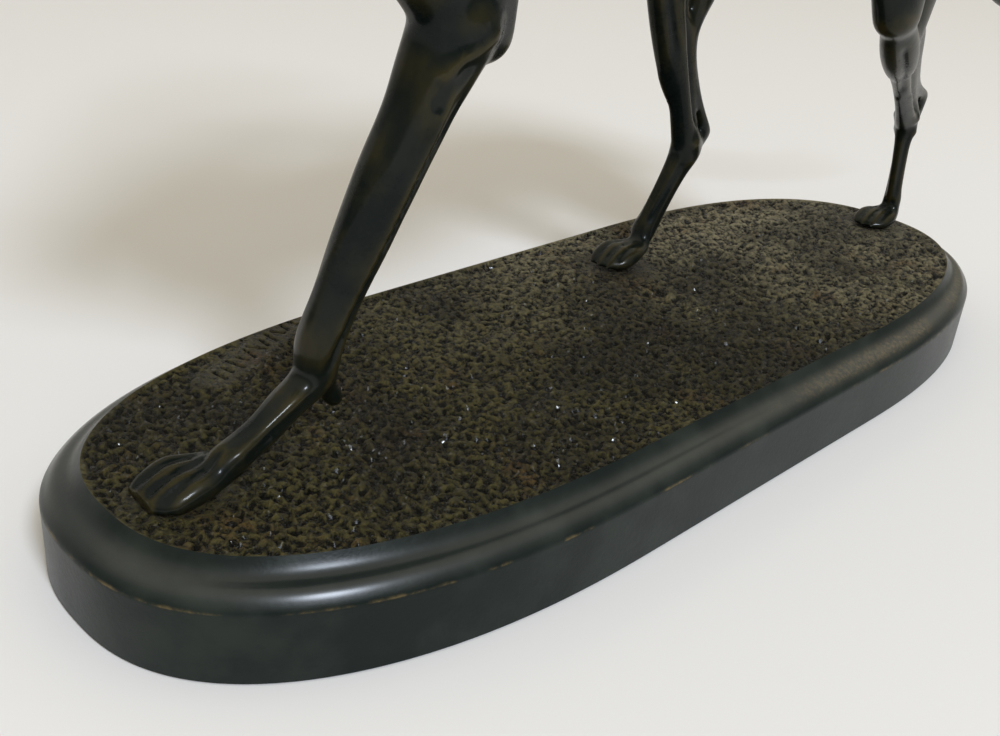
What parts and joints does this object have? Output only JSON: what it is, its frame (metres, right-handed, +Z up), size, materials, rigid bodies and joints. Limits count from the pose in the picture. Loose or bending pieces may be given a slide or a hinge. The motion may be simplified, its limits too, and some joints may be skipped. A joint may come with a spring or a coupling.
{
  "type": "greyhound statue",
  "caption": "Standing greyhound with one forepaw raised and its head turned back, on a low oval moulded plinth with rough ground.",
  "frame": {"origin": "middle of the plinth's flat underside, on the surface it stands on", "axes": "+Z up, the dog faces -X, +Y is the dog's right"},
  "size_m": [0.3988, 0.1156, 0.3028],
  "materials": {
    "plinth_bronze": "dark green-black patina, waxed, rubbed to brown and gold on the edges",
    "dog_bronze": "dark blue-green to black patina, glossy, rubbed to olive brown on the ridges"
  },
  "bodies": {
    "root": {"base": "plinth_bronze", "greyhound": "dog_bronze"}
  },
  "joints": []
}
